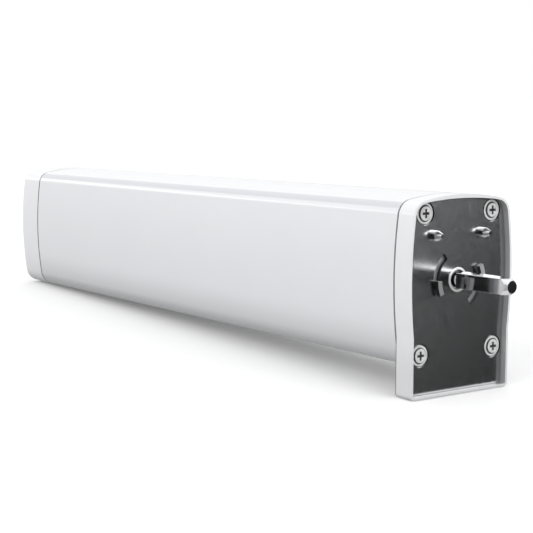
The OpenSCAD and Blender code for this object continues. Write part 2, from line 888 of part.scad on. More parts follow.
module commutator() color([0.76, 0.45, 0.22]) {
    slab(x_commutator - commutator_len, x_commutator) difference() {
        circle(commutator_r);
        circle(motor_shaft_r + seat_fit);
        for (k = [0:armature_slots - 1])
            rotate((k + 0.5) * 360 / armature_slots) translate([commutator_r - 1, -0.2]) square([2, 0.4]);
    }
}

module motor_can() color([0.68, 0.69, 0.71]) {
    difference() {
        union() {
            rod(x_bell, x_motor, motor_r);
            rod(x_motor - 1, x_motor + nose_len, nose_r);
        }
        rod(x_bell - 1, x_motor - motor_wall, can_in_r);
        rod(x_motor - motor_wall - 1, x_motor + nose_len + 1, bearing_r + seat_fit);
        for (s = around(motor_screw_at, 2, 90))
            rod_at(s, x_motor - motor_wall - 1, x_motor + 1, motor_screw_r + seat_fit);
    }
}

module field_magnets() color([0.2, 0.2, 0.22]) {
    slab(x_stack - armature_len - 2, x_stack + 2)
        for (a = [25, 205])
            rotate(a) ring_sector(can_in_r - magnet_t, can_in_r - seat_fit, 0, 130);
}

module bearing(x) {
    difference() {
        rod(x - bearing_len, x, bearing_r);
        rod(x - bearing_len - 1, x + 1, motor_shaft_r + run_fit);
    }
}

module front_bearing() color([0.62, 0.56, 0.44])
    bearing(x_motor + nose_len - 0.2);

module motor_end_bell() color([0.15, 0.16, 0.17]) {
    difference() {
        union() {
            rod(x_bell, x_bell + bell_spigot, can_in_r - seat_fit);
            rod(x_bell_rear, x_bell, motor_r);
            for (s = [-1, 1]) {
                box(
                    [x_bell + bell_spigot - 1, x_commutator],
                    [-brush_w / 2 - 1.2, brush_w / 2 + 1.2],
                    s > 0 ? [commutator_r + 1.5, brush_out_r + 1.2] : [-brush_out_r - 1.2, -commutator_r - 1.5]
                );
                rod_at([s * encoder_post_y, 0], x_encoder_board, x_bell_rear + 1, encoder_post_r);
                rod_at(
                    [s * encoder_post_y, 0], x_encoder_board - encoder_board_t - 0.6, x_encoder_board + 1,
                    encoder_peg_r
                );
            }
        }
        rod(x_bell_rear - 1, x_bell + bell_spigot + 1, bearing_r + seat_fit);
        rod(x_bell + bell_spigot - 1.5, x_bell + bell_spigot + 1, commutator_r + 1);
        for (s = [-1, 1]) {
            box(
                [x_commutator - 2 - brush_t, x_commutator - 2 + tiny],
                [-brush_w / 2 - seat_fit, brush_w / 2 + seat_fit],
                s > 0 ? [0, brush_out_r] : [-brush_out_r, 0]
            );
        }
    }
}

module rear_bearing() color([0.62, 0.56, 0.44])
    bearing(x_bell + bell_spigot - 1.7);

module carbon_brushes() color([0.13, 0.13, 0.14]) {
    x = x_commutator - 2 - brush_t;
    for (s = [0, 1])
        mirror([0, 0, s]) difference() {
            box([x + seat_fit, x + brush_t], [-brush_w / 2, brush_w / 2], [commutator_r - 0.5, brush_out_r - seat_fit]);
            rod(x - 1, x + brush_t + 1, commutator_r + run_fit);
        }
}

module motor_damper() color([0.1, 0.1, 0.11]) {
    notch_y = half_width(board_z, tube_wall) - rail_w - 0.4;
    notch_top = board_top + board_fit + rail_t + 0.4;
    slab(x_damper, x_damper + damper_len) difference() {
        intersection() {
            outline(tube_wall + 0.15);
            circle(half_width(side_z, tube_wall) + 0.6);
        }
        circle(motor_r + seat_fit);
        for (m = [0, 1])
            mirror([m, 0]) translate([notch_y, notch_top - tube_w]) square(tube_w);
    }
}

module encoder_magnet() color([0.25, 0.25, 0.27]) {
    difference() {
        rod(x_magnet - encoder_magnet_t, x_magnet, encoder_magnet_r);
        rod(x_magnet - encoder_magnet_t - 1, x_magnet + 1, motor_shaft_r + seat_fit);
    }
}

module encoder_board() color([0.1, 0.35, 0.2]) {
    x = x_encoder_board - encoder_board_t;
    half = encoder_post_y + 3;
    difference() {
        union() {
            box([x, x_encoder_board], [-half, half], [-encoder_board_h / 2, encoder_board_h / 2]);
            box([x, x_encoder_board + 1], [-sensor_side / 2, sensor_side / 2], [2, 2 + sensor_side]);
        }
        for (s = [-1, 1])
            rod_at([s * encoder_post_y, 0], x - 1, x_encoder_board + 1, encoder_peg_r + seat_fit);
    }
}

// Two leads from the motor's rear face, back and down to the control board
module motor_leads() color([0.7, 0.12, 0.1]) {
    for (s = [0, 1])
        mirror([0, s, 0]) {
            rod_at([lead_y, lead_z], x_lead_down, x_bell_rear, lead_r);
            translate([x_lead_down, lead_y, lead_z - lead_bend]) rotate([90, 0, 0]) rotate([0, 0, 90])
                rotate_extrude(angle = 90) translate([lead_bend, 0]) circle(lead_r);
            translate([x_lead_down - lead_bend, lead_y, board_top])
                cylinder(h = lead_z - lead_bend - board_top, r = lead_r);
        }
}

// Electronics
module control_board() color([0.08, 0.36, 0.2]) {
    w = half_width(board_z, tube_wall) - 0.3;
    box([x_board_end, x_board], [-w, w], [board_z, board_top]);
}

module transformer_core() color([0.22, 0.22, 0.24]) {
    x = x_transformer;
    z = [board_top + core_lift, board_top + core_lift + core_t];
    difference() {
        box([x, x + transformer_len], [-transformer_w / 2, transformer_w / 2], z);
        for (m = [0, 1])
            mirror([0, m, 0])
                box([x + 3, x + transformer_len - 3], [leg_w, leg_w + window_w], [z[0] - 1, z[1] + 1]);
    }
}

module transformer_coil() color([0.82, 0.66, 0.2]) {
    x = x_transformer;
    w = leg_w + window_w - 0.1;
    difference() {
        box([x + 3.1, x + transformer_len - 3.1], [-w, w], [board_top, board_top + coil_h]);
        box(
            [x + 3, x + transformer_len - 3], [-leg_w - 0.1, leg_w + 0.1],
            [board_top + core_lift - 0.1, board_top + core_lift + core_t + 0.1]
        );
    }
}

module board_capacitors() color([0.16, 0.2, 0.34]) {
    rod_at([0, board_top + big_cap_r], x_big_cap, x_big_cap + big_cap_len, big_cap_r);
    for (s = [-1, 1])
        translate([x_small_caps, s * small_cap_y, board_top]) cylinder(h = small_cap_h, r = small_cap_r);
}

module driver_chips() color([0.12, 0.12, 0.13]) {
    box([x_chips, x_chips + chip_len], [-chip_len / 2, chip_len / 2], [board_top, board_top + chip_h]);
    for (s = [-1, 1])
        translate([x_chips, s * small_chip_y, 0])
            box([0, small_chip], [-small_chip / 2, small_chip / 2], [board_top, board_top + chip_h]);
    box([x_long_chip, x_long_chip + long_chip_len], [-3, 3], [board_top, board_top + long_chip_h]);
}

module radio_module() color([0.72, 0.73, 0.75]) {
    box([x_radio, x_radio + radio_len], [-radio_w / 2, radio_w / 2], [board_top, board_top + 0.8]);
    box([x_radio + 4, x_radio + radio_len - 2], [1 - radio_w / 2, radio_w / 2 - 1], [board_top, board_top + 2.8]);
}

// Wire antenna that stands on the radio module and turns towards the plastic tail cap
module antenna() color([0.76, 0.45, 0.22]) {
    r = 0.4;
    bend = 2;
    rise = 9;
    x = x_radio + 2;
    translate([x, 0, board_top + 0.8]) cylinder(h = rise, r = r);
    translate([x - bend, 0, board_top + 0.8 + rise]) rotate([90, 0, 0])
        rotate_extrude(angle = 90) translate([bend, 0]) circle(r);
    rod_at([0, board_top + 0.8 + rise + bend], x_board_end - 4, x - bend, r);
}

// Header whose pins join the control board to the socket board
module board_link() color([0.12, 0.12, 0.13]) {
    box([x_board_end + 1, x_board_end + 1 + link_len], [-7, 7], [board_top, board_top + 2.5]);
    for (k = [-2:2])
        rod_at([k * 2.54, board_top + 1.25], x_socket_board, x_board_end + 2, 0.4);
}

// Tail end
module socket_board() color([0.08, 0.36, 0.2]) {
    w = min(tube_w * 0.39, half_width(board_z, tube_wall) - rail_w - 0.6);
    difference() {
        union() {
            box([x_socket_rear, x_socket_board], [-w, w], [boss_r + 0.4 - low_screw_z, top_screw_z - boss_r - 0.4]);
            box([x_socket_rear - led_t, x_socket_board - tiny], [light_y - 1.5, light_y + 1.5], [button_z - 1, button_z + 1]);
        }
        for (s = [-1, 1])
            rod_at([s * post_y, post_z], x_socket_rear - 1, x_socket_board + 1, gear_screw_r + 0.15);
        for (s = [-1, 1])
            rod_at([s * inlet_pitch / 2, -inlet_drop], x_socket_rear - 1, x_socket_board + 1, inlet_pin_r + seat_fit);
    }
}

module socket_board_screws() color([0.5, 0.51, 0.53]) {
    for (s = [-1, 1])
        pan_screw([s * post_y, post_z], x_socket_board, gear_screw_r, 1.7, 1.4, 0.4, board_t + 5);
}

module inlet_mouth() {
    for (s = [-1, 1])
        translate([s * inlet_pitch / 2, 0]) circle(inlet_lobe_r);
    square([inlet_pitch, inlet_waist], center = true);
}

module inlet_shell(skin) {
    for (s = [-1, 1])
        translate([s * inlet_pitch / 2, 0]) circle(inlet_lobe_r + skin);
    square([inlet_pitch, 2 * (inlet_lobe_r + skin)], center = true);
}

module socket_mouth(grow) {
    square([socket_w + 2 * grow, socket_h + 2 * grow], center = true);
}

module tail_cap() color([0.92, 0.93, 0.94]) {
    difference() {
        union() {
            difference() {
                union() {
                    slab(x_end + tail_chamfer, x_tail) outline();
                    drawn_in(x_end, x_end + tail_chamfer, tail_chamfer);
                    slab(x_end + tail_chamfer / 2, x_tail_wall) outline(tail_chamfer);
                }
                slab(x_tail_wall, x_tail + 1) outline(tail_wall);
            }
            intersection() {
                slab(x_tail_wall - 1, x_tail) outline(tail_wall / 2);
                union() {
                    for (s = screw_spots)
                        rod_at(s, x_tail_wall - 1, x_tail, boss_r);
                }
            }
            for (s = [-1, 1])
                rod_at([s * post_y, post_z], x_tail_wall - 1, x_socket_rear, post_r);
            slab(x_tail - 1, x_tail + tongue_len) tongue_outline(tube_wall + plate_fit);
            slab(x_tail - 1, x_tail) tongue_outline(tail_wall / 2);
        }
        for (s = screw_spots) {
            rod_at(s, x_end - 1, x_tail - tail_floor, tail_screw_head_r * pan_flange + 0.1);
            rod_at(s, x_end - 1, x_tail + 1, screw_r + 0.15);
        }
        for (s = [-1, 1])
            rod_at([s * post_y, post_z], x_socket_rear - 6, x_socket_rear + 1, gear_screw_r + seat_fit);
        slab(x_end - 1, x_tail_wall + 1) {
            translate([0, -inlet_drop]) inlet_shell(inlet_skin + seat_fit);
            translate([socket_y, socket_z]) socket_mouth(socket_skin + seat_fit);
            translate([button_y, button_z]) circle(button_r + run_fit);
            translate([light_y, button_z]) circle(light_r + seat_fit);
        }
    }
}

module tail_screws() color([0.5, 0.51, 0.53]) {
    mirror([1, 0, 0])
        for (s = screw_spots)
            pan_screw(
                s, tail_floor - x_tail, screw_r, tail_screw_head_r, tail_screw_head_t, 0.6,
                tail_floor + screw_bite
            );
}

module power_inlet() color([0.12, 0.12, 0.13]) {
    difference() {
        slab(x_end, x_socket_rear) translate([0, -inlet_drop]) inlet_shell(inlet_skin);
        slab(x_end - 1, x_end + inlet_depth) translate([0, -inlet_drop]) inlet_mouth();
        for (s = [-1, 1])
            rod_at([s * inlet_pitch / 2, -inlet_drop], x_end, x_socket_rear + 1, inlet_pin_r + seat_fit);
    }
}

module inlet_pins() color([0.8, 0.78, 0.7]) {
    for (s = [-1, 1]) {
        rod_at([s * inlet_pitch / 2, -inlet_drop], x_end + inlet_depth - inlet_pin_len, x_socket_board, inlet_pin_r);
        rod_at(
            [s * inlet_pitch / 2, -inlet_drop], x_end + inlet_depth - inlet_pin_len - 0.8,
            x_end + inlet_depth - inlet_pin_len, inlet_pin_r * 0.5, inlet_pin_r
        );
    }
}

module control_socket() color([0.14, 0.14, 0.15]) {
    difference() {
        slab(x_end, x_socket_rear) translate([socket_y, socket_z]) socket_mouth(socket_skin);
        slab(x_end - 1, x_end + socket_depth) translate([socket_y, socket_z]) socket_mouth(0);
        slab(x_end - 1, x_end + socket_depth / 2)
            translate([socket_y, socket_z - socket_h / 2]) square([socket_w / 3, 1.6], center = true);
    }
}

module socket_contacts() color([0.85, 0.7, 0.3]) {
    for (k = [-1.5:1.5])
        rod_at(
            [socket_y + k * contact_pitch, socket_z + socket_h / 2 - 0.8], x_end + 2, x_end + socket_depth,
            contact_r
        );
}

module setting_button() color([0.86, 0.87, 0.88]) {
    x_flange = x_tail_wall + run_fit;
    rod_at([button_y, button_z], x_end - button_out, x_flange + tiny, button_r);
    rod_at([button_y, button_z], x_flange, x_flange + button_flange, button_r + 1);
    rod_at([button_y, button_z], x_flange, x_switch - plunger_out, button_stem_r);
}

module switch_plunger() color([0.15, 0.15, 0.16])
    rod_at([button_y, button_z], x_switch - plunger_out, x_switch + plunger_in, plunger_r);

module button_switch() color([0.6, 0.61, 0.63]) {
    half = switch_side / 2;
    difference() {
        box([x_switch, x_socket_rear], [button_y - half, button_y + half], [button_z - half, button_z + half]);
        rod_at(
            [button_y, button_z], x_switch - 1, x_switch + plunger_in + button_travel + 0.2,
            plunger_r + run_fit
        );
    }
}

module light_pipe() color([0.85, 0.95, 0.9])
    rod_at([light_y, button_z], x_end, x_socket_rear - led_t, light_r);

housing_tube();
mounting_cap();
mounting_plate();
plate_screws();
locating_pins();
latch_ring();
latch_spring();
shaft_bush();
cap_screws();
drive_shaft();
output_carrier();
output_planet_pins();
output_planet_gear(1);  // output_planet_gear_1
output_planet_gear(2);  // output_planet_gear_2
output_planet_gear(3);  // output_planet_gear_3
gearbox_cover();
gearbox_screws();
gearbox_housing();
first_carrier();
first_planet_pins();
first_planet_gear(1);  // first_planet_gear_1
first_planet_gear(2);  // first_planet_gear_2
first_planet_gear(3);  // first_planet_gear_3
motor_screws();
motor_pinion();
motor_shaft();
armature_core();
armature_windings();
commutator();
motor_can();
field_magnets();
front_bearing();
motor_end_bell();
rear_bearing();
carbon_brushes();
motor_damper();
encoder_magnet();
encoder_board();
motor_leads();
control_board();
transformer_core();
transformer_coil();
board_capacitors();
driver_chips();
radio_module();
antenna();
board_link();
socket_board();
socket_board_screws();
tail_cap();
tail_screws();
power_inlet();
inlet_pins();
control_socket();
socket_contacts();
setting_button();
switch_plunger();
button_switch();
light_pipe();
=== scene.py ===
import bpy
import json
import math
from mathutils import Matrix, Vector


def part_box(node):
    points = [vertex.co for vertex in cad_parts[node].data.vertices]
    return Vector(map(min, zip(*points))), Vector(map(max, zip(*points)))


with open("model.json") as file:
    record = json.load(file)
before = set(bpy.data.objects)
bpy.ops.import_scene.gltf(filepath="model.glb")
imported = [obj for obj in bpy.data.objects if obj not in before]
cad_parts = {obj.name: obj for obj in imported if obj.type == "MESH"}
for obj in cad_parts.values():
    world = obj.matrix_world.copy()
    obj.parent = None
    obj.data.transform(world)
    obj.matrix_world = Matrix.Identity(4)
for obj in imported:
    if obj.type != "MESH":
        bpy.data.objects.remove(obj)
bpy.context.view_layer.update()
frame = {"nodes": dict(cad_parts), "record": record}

MM = 0.001

# Camera, solved from the photograph: place and turn in the shared frame, focal length in pixels of the image
IMAGE_SIDE = 533
SENSOR_WIDTH = 36.0
VIEW_DEPTH = 50.0
CAMERA_PLACE = Vector((0.35964, -0.34923, 0.06169))
CAMERA_AZIMUTH = 54.474
CAMERA_ELEVATION = 6.504
CAMERA_ROLL = 0.052
CAMERA_FOCAL = 1299.95


def make_camera():
    az = math.radians(CAMERA_AZIMUTH)
    el = math.radians(CAMERA_ELEVATION)
    roll = math.radians(CAMERA_ROLL)
    back = Vector((math.sin(az) * math.cos(el), -math.cos(az) * math.cos(el), math.sin(el)))
    right = Vector((0, 0, 1)).cross(back).normalized()
    up = back.cross(right)
    x_axis = right * math.cos(roll) + up * math.sin(roll)
    y_axis = up * math.cos(roll) - right * math.sin(roll)
    data = bpy.data.cameras.new("camera")
    data.sensor_width = SENSOR_WIDTH
    data.lens = CAMERA_FOCAL * SENSOR_WIDTH / IMAGE_SIDE
    data.clip_end = VIEW_DEPTH
    camera = bpy.data.objects.new("camera", data)
    bpy.context.scene.collection.objects.link(camera)
    turn = Matrix((x_axis, y_axis, back)).transposed().to_4x4()
    camera.matrix_world = Matrix.Translation(CAMERA_PLACE) @ turn
    bpy.context.scene.camera = camera


# Materials: the share of a noise's range over which a tint runs from its low to its high color
TINT_FROM = 0.3
TINT_TO = 0.7


def new_material(name):
    m = bpy.data.materials.new(name)
    m.use_nodes = True
    nodes = m.node_tree.nodes
    return m, nodes, m.node_tree.links, nodes["Principled BSDF"]


def object_coords(nodes, links, scale=(1, 1, 1)):
    coord = nodes.new("ShaderNodeTexCoord")
    mapping = nodes.new("ShaderNodeMapping")
    mapping.inputs["Scale"].default_value = scale
    links.new(coord.outputs["Object"], mapping.inputs["Vector"])
    return mapping.outputs["Vector"]


def noise(nodes, links, vector, scale, detail=3.0):
    n = nodes.new("ShaderNodeTexNoise")
    n.inputs["Scale"].default_value = scale
    n.inputs["Detail"].default_value = detail
    links.new(vector, n.inputs["Vector"])
    return n.outputs["Fac"]


def span(nodes, links, value, low, high):
    n = nodes.new("ShaderNodeMapRange")
    n.inputs["To Min"].default_value = low
    n.inputs["To Max"].default_value = high
    links.new(value, n.inputs["Value"])
    return n.outputs["Result"]


def tint(nodes, links, value, low, high):
    ramp = nodes.new("ShaderNodeValToRGB")
    stops = ramp.color_ramp.elements
    for stop, position, color in zip(stops, (TINT_FROM, TINT_TO), (low, high)):
        stop.position = position
        stop.color = (*color, 1)
    links.new(value, ramp.inputs["Fac"])
    return ramp.outputs["Color"]


def bump(nodes, links, shader, height, strength, distance):
    n = nodes.new("ShaderNodeBump")
    n.inputs["Strength"].default_value = strength
    n.inputs["Distance"].default_value = distance
    links.new(height, n.inputs["Height"])
    links.new(n.outputs["Normal"], shader.inputs["Normal"])


# Masks are multiplied, so products stay between 0 and 1
def calculate(nodes, links, operation, *values):
    n = nodes.new("ShaderNodeMath")
    n.operation = operation
    n.use_clamp = operation == "MULTIPLY"
    for socket, value in zip(n.inputs, values):
        if isinstance(value, (int, float)):
            socket.default_value = value
        else:
            links.new(value, socket)
    return n.outputs["Value"]


# 0 where the value is at start or beyond it, 1 at end
def fade(nodes, links, value, start, end):
    n = nodes.new("ShaderNodeMapRange")
    n.inputs["From Min"].default_value = start
    n.inputs["From Max"].default_value = end
    links.new(value, n.inputs["Value"])
    return n.outputs["Result"]


def blend(nodes, links, mask, color, other):
    mix = nodes.new("ShaderNodeMix")
    mix.data_type = "RGBA"
    links.new(mask, mix.inputs["Factor"])
    links.new(color, mix.inputs["A"])
    mix.inputs["B"].default_value = (*other, 1)
    return mix.outputs["Result"]


# Masks that shade part of a piece. Each has the limits between which it fades in, and the shade that it brings.
# CROWN and FACING limits are a part of the surface's normal. INWARD limits are its distance from the long axis,
# negated because the surface faces the axis. All others are places or depths in metres.

# The dark line where the tube meets each cap
SEAM_HALF = 0.35 * MM
SEAM_SOFT = 0.12 * MM
SEAM_SHADE = (0.12, 0.12, 0.125)
# Painted shade on the underside of the white pieces, darker towards the floor
PAINTED_UNDERSIDE_SHADE_HEIGHTS = (-13 * MM, -36 * MM)
TUBE_PAINTED_UNDERSIDE_SHADE = (0.53, 0.535, 0.55)
CAP_PAINTED_UNDERSIDE_SHADE = (0.73, 0.735, 0.745)
# A band of painted shade along the tube's upper corners
CROWN_BELOW = (0.46, 0.55)
CROWN_ABOVE = (0.89, 0.82)
PAINTED_CROWN_SHADE = (0.66, 0.67, 0.705)
# Painted shade on the wall inside the rim of the mounting cap, in front of the plate
RIM_INWARD = (-8 * MM, -12 * MM)
RIM_FRONT = (-6 * MM, -5 * MM)
PAINTED_RIM_SHADE = (0.4, 0.4, 0.405)
# Painted shade on the sheared walls of the plate's slots and holes
WALL_FACING = (0.8, 0.5)
PAINTED_WALL_SHADE = (0.12, 0.12, 0.125)
# Painted shade in the recess and on the side of a plate screw's head, down to its flange
HEAD_BELOW = (0.06 * MM, 0.16 * MM)
HEAD_RISE = 0.7 * MM
HEAD_ABOVE_FLANGE = (0.03 * MM, 0.08 * MM)
PAINTED_HEAD_SHADE = (0.06, 0.06, 0.062)
# Painted shade on the near side of the latch hooks
SIDE_FACING = (-0.3, -0.6)
PAINTED_SIDE_SHADE = (0.03, 0.03, 0.032)
# Painted shade in the bore of the bush
BORE_INWARD = (-1 * MM, -2 * MM)
PAINTED_BORE_SHADE = (0.02, 0.02, 0.021)
# The turned tip of the shaft, which is less of a mirror than the rest
TIP_LENGTH = 3.2 * MM
TIP_SOFT = 0.2 * MM
TIP_FACING = (0.97, 0.9)
TIP_DULLNESS = 0.5


# The parts of a texture coordinate: the place in the piece's frame is Object, the surface's normal is Normal
def parts_of(nodes, links, coordinate):
    coord = nodes.new("ShaderNodeTexCoord")
    split = nodes.new("ShaderNodeSeparateXYZ")
    links.new(coord.outputs[coordinate], split.inputs["Vector"])
    return split.outputs


# The distance from the long axis where the surface faces away from it, negative where it faces the axis
def outward(nodes, links):
    coord = nodes.new("ShaderNodeTexCoord")
    flat = nodes.new("ShaderNodeVectorMath")
    flat.operation = "MULTIPLY"
    flat.inputs[1].default_value = (0, 1, 1)
    links.new(coord.outputs["Object"], flat.inputs[0])
    facing = nodes.new("ShaderNodeVectorMath")
    facing.operation = "DOT_PRODUCT"
    links.new(coord.outputs["Normal"], facing.inputs[0])
    links.new(flat.outputs["Vector"], facing.inputs[1])
    return facing.outputs["Value"]


def distance(nodes, links, value, mark):
    return calculate(nodes, links, "ABSOLUTE", calculate(nodes, links, "SUBTRACT", value, mark))


def seam_mask(nodes, links):
    place = parts_of(nodes, links, "Object")
    limits = (SEAM_HALF + SEAM_SOFT, SEAM_HALF - SEAM_SOFT)
    tail, front = (
        fade(nodes, links, distance(nodes, links, place["X"], end.x), *limits)
        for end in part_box("housing_tube")
    )
    return calculate(nodes, links, "MAXIMUM", tail, front)


# Painted shade: the white plastics darken towards the floor
def painted_underside_shade_mask(nodes, links):
    low = fade(nodes, links, parts_of(nodes, links, "Object")["Z"], *PAINTED_UNDERSIDE_SHADE_HEIGHTS)
    low.node.interpolation_type = "SMOOTHSTEP"
    return low


# Painted shade on the corner band, chosen by the way the surface faces
def painted_crown_shade_mask(nodes, links):
    normal = parts_of(nodes, links, "Normal")
    below = fade(nodes, links, normal["Z"], *CROWN_BELOW)
    above = fade(nodes, links, normal["Z"], *CROWN_ABOVE)
    return calculate(nodes, links, "MULTIPLY", below, above)


# Painted shade inside the cap's rim
def painted_rim_shade_mask(nodes, links):
    inward = fade(nodes, links, outward(nodes, links), *RIM_INWARD)
    front = fade(nodes, links, parts_of(nodes, links, "Object")["X"], *RIM_FRONT)
    return calculate(nodes, links, "MULTIPLY", inward, front)


# Painted shade on the walls of the slots and holes
def painted_wall_shade_mask(nodes, links):
    return fade(nodes, links, parts_of(nodes, links, "Normal")["X"], *WALL_FACING)


# Painted shade in the screw heads' recesses and on their sides
def painted_head_shade_mask(nodes, links):
    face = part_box("plate_screws")[1].x
    depth = calculate(nodes, links, "SUBTRACT", face, parts_of(nodes, links, "Object")["X"])
    below = fade(nodes, links, depth, *HEAD_BELOW)
    off_flange = fade(nodes, links, distance(nodes, links, depth, HEAD_RISE), *HEAD_ABOVE_FLANGE)
    return calculate(nodes, links, "MULTIPLY", below, off_flange)


# Painted shade on the hooks' faces that turn towards -y
def painted_side_shade_mask(nodes, links):
    return fade(nodes, links, parts_of(nodes, links, "Normal")["Y"], *SIDE_FACING)


# Painted shade inside the bore
def painted_bore_shade_mask(nodes, links):
    return fade(nodes, links, outward(nodes, links), *BORE_INWARD)


def tip_mask(nodes, links):
    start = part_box("drive_shaft")[1].x - TIP_LENGTH
    place = parts_of(nodes, links, "Object")
    along = fade(nodes, links, place["X"], start - TIP_SOFT, start + TIP_SOFT)
    around = fade(nodes, links, parts_of(nodes, links, "Normal")["X"], *TIP_FACING)
    tip = calculate(nodes, links, "MULTIPLY", along, around)
    return calculate(nodes, links, "MULTIPLY", tip, TIP_DULLNESS)


SEAMS = (seam_mask, SEAM_SHADE)
TUBE_MASKS = ((painted_underside_shade_mask, TUBE_PAINTED_UNDERSIDE_SHADE), (painted_crown_shade_mask, PAINTED_CROWN_SHADE), SEAMS)
CAP_MASKS = ((painted_underside_shade_mask, CAP_PAINTED_UNDERSIDE_SHADE), SEAMS, (painted_rim_shade_mask, PAINTED_RIM_SHADE))

# A plastic: how coarse its mottling is, how far its roughness swings, its grain and its clear coat
CLOUD_SCALE = 35.0
PLASTIC_SWING = 0.04
PLASTIC_RELIEF = 0.25
GRAIN_DEPTH = 0.02 * MM
COAT_ROUGHNESS = 0.12
# The same for a metal's brushing, and the least roughness that it may reach
BRUSH_DETAIL = 5.0
METAL_SWING = 0.06
METAL_RELIEF = 0.2
LEAST_ROUGHNESS = 0.02
# The board: its rows of traces, and how deep and how shiny they are
TRACE_SCALE = 160.0
BOARD_GREEN = (0.02, 0.2, 0.09, 1)
BOARD_DARK_GREEN = (0.015, 0.16, 0.075, 1)
TRACE_GREEN = (0.05, 0.32, 0.15, 1)
BOARD_RELIEF = 0.3
TRACE_DEPTH = 0.04 * MM
BOARD_ROUGHNESS = 0.35


def paint(nodes, links, shader, pattern, color, vary, masks):
    low = [max(c - vary, 0) for c in color]
    high = [min(c + vary, 1) for c in color]
    shade = tint(nodes, links, pattern, low, high)
    for mask, other in masks:
        shade = blend(nodes, links, mask(nodes, links), shade, other)
    links.new(shade, shader.inputs["Base Color"])


def plastic(name, color, rough=0.35, grain=900.0, vary=0.02, coat=0.0, masks=()):
    m, nodes, links, shader = new_material(name)
    vector = object_coords(nodes, links)
    cloud = noise(nodes, links, vector, CLOUD_SCALE)
    paint(nodes, links, shader, cloud, color, vary, masks)
    swing = span(nodes, links, cloud, rough - PLASTIC_SWING, rough + PLASTIC_SWING)
    links.new(swing, shader.inputs["Roughness"])
    bump(nodes, links, shader, noise(nodes, links, vector, grain), PLASTIC_RELIEF, GRAIN_DEPTH)
    shader.inputs["Coat Weight"].default_value = coat
    shader.inputs["Coat Roughness"].default_value = COAT_ROUGHNESS
    return m


def metal(name, color, rough=0.3, stretch=(1, 1, 1), grain=400.0, vary=0.04, depth=0.01 * MM, masks=(),
          metallic=1.0, dull=None):
    m, nodes, links, shader = new_material(name)
    vector = object_coords(nodes, links, stretch)
    brush = noise(nodes, links, vector, grain, BRUSH_DETAIL)
    paint(nodes, links, shader, brush, color, vary, masks)
    swing = span(nodes, links, brush, max(rough - METAL_SWING, LEAST_ROUGHNESS), rough + METAL_SWING)
    links.new(swing, shader.inputs["Roughness"])
    bump(nodes, links, shader, brush, METAL_RELIEF, depth)
    shader.inputs["Metallic"].default_value = metallic
    if dull:
        level = calculate(nodes, links, "SUBTRACT", metallic, dull(nodes, links))
        links.new(level, shader.inputs["Metallic"])
    return m


def board_green(name):
    m, nodes, links, shader = new_material(name)
    vector = object_coords(nodes, links)
    brick = nodes.new("ShaderNodeTexBrick")
    brick.inputs["Scale"].default_value = TRACE_SCALE
    brick.inputs["Color1"].default_value = BOARD_GREEN
    brick.inputs["Color2"].default_value = BOARD_DARK_GREEN
    brick.inputs["Mortar"].default_value = TRACE_GREEN
    links.new(vector, brick.inputs["Vector"])
    links.new(brick.outputs["Color"], shader.inputs["Base Color"])
    bump(nodes, links, shader, brick.outputs["Fac"], BOARD_RELIEF, TRACE_DEPTH)
    shader.inputs["Roughness"].default_value = BOARD_ROUGHNESS
    return m


